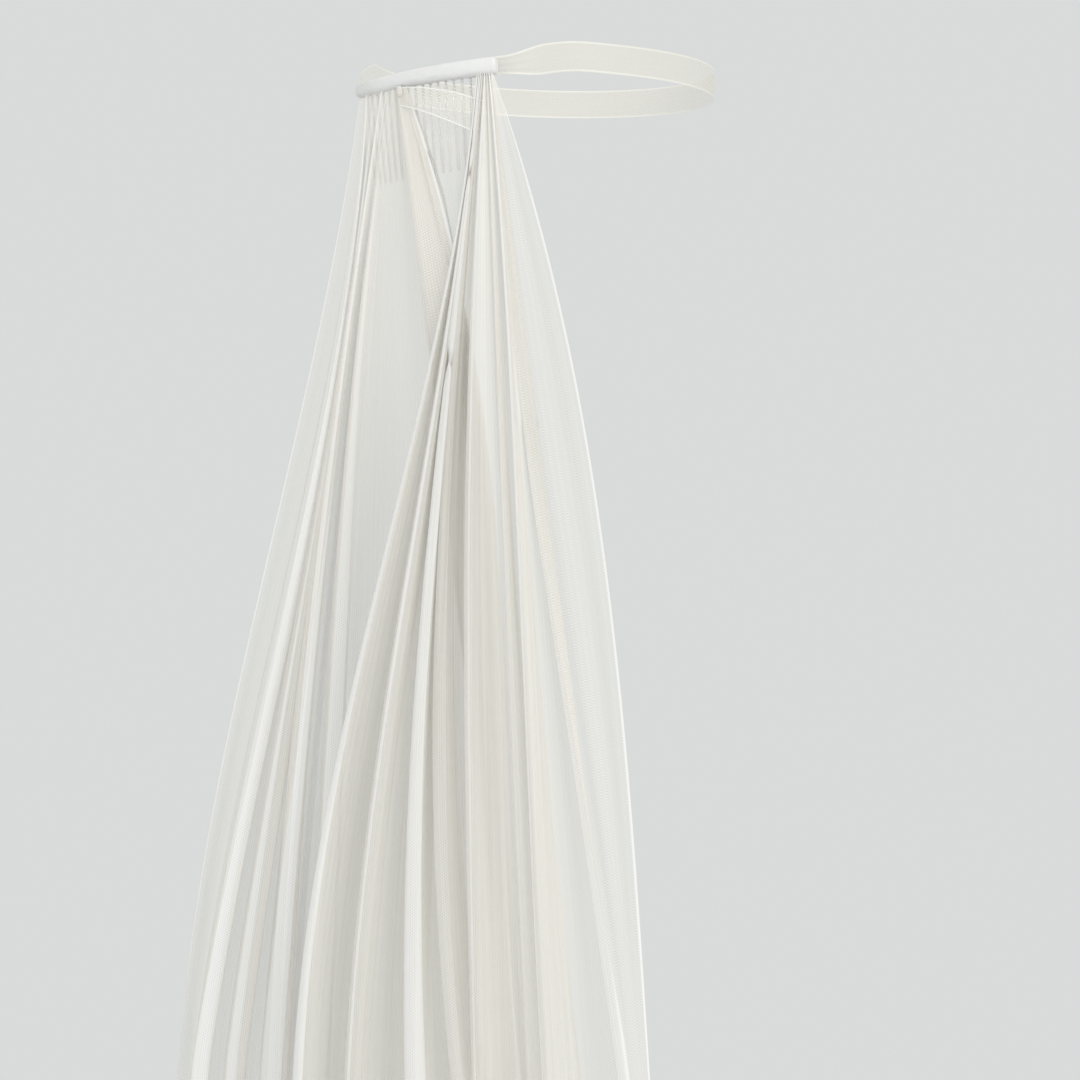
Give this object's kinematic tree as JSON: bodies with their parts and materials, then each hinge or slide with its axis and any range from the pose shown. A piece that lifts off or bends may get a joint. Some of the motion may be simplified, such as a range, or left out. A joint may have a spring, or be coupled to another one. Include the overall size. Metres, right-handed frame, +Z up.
{
  "type": "bridal veil",
  "caption": "Fingertip-length single-tier tulle veil gathered on a fabric-wrapped wire hair comb, with a narrow sheer ribbon that loops round the head.",
  "frame": {"origin": "on the line of the comb's arc, straight behind the middle of the head", "axes": "+Z up as worn, +Y behind the wearer where the veil hangs, the wearer faces -Y and the wearer's right is -X"},
  "size_m": [0.3847, 0.2514, 1.016],
  "materials": {
    "tulle": "sheer ivory net",
    "wrap": "soft white",
    "wire": "bright silvered wire",
    "ribbon": "sheer ivory organza"
  },
  "bodies": {
    "root": {"veil": "tulle", "comb_wrap": "wrap", "wire_comb": "wire", "head_ribbon": "ribbon"}
  },
  "joints": []
}
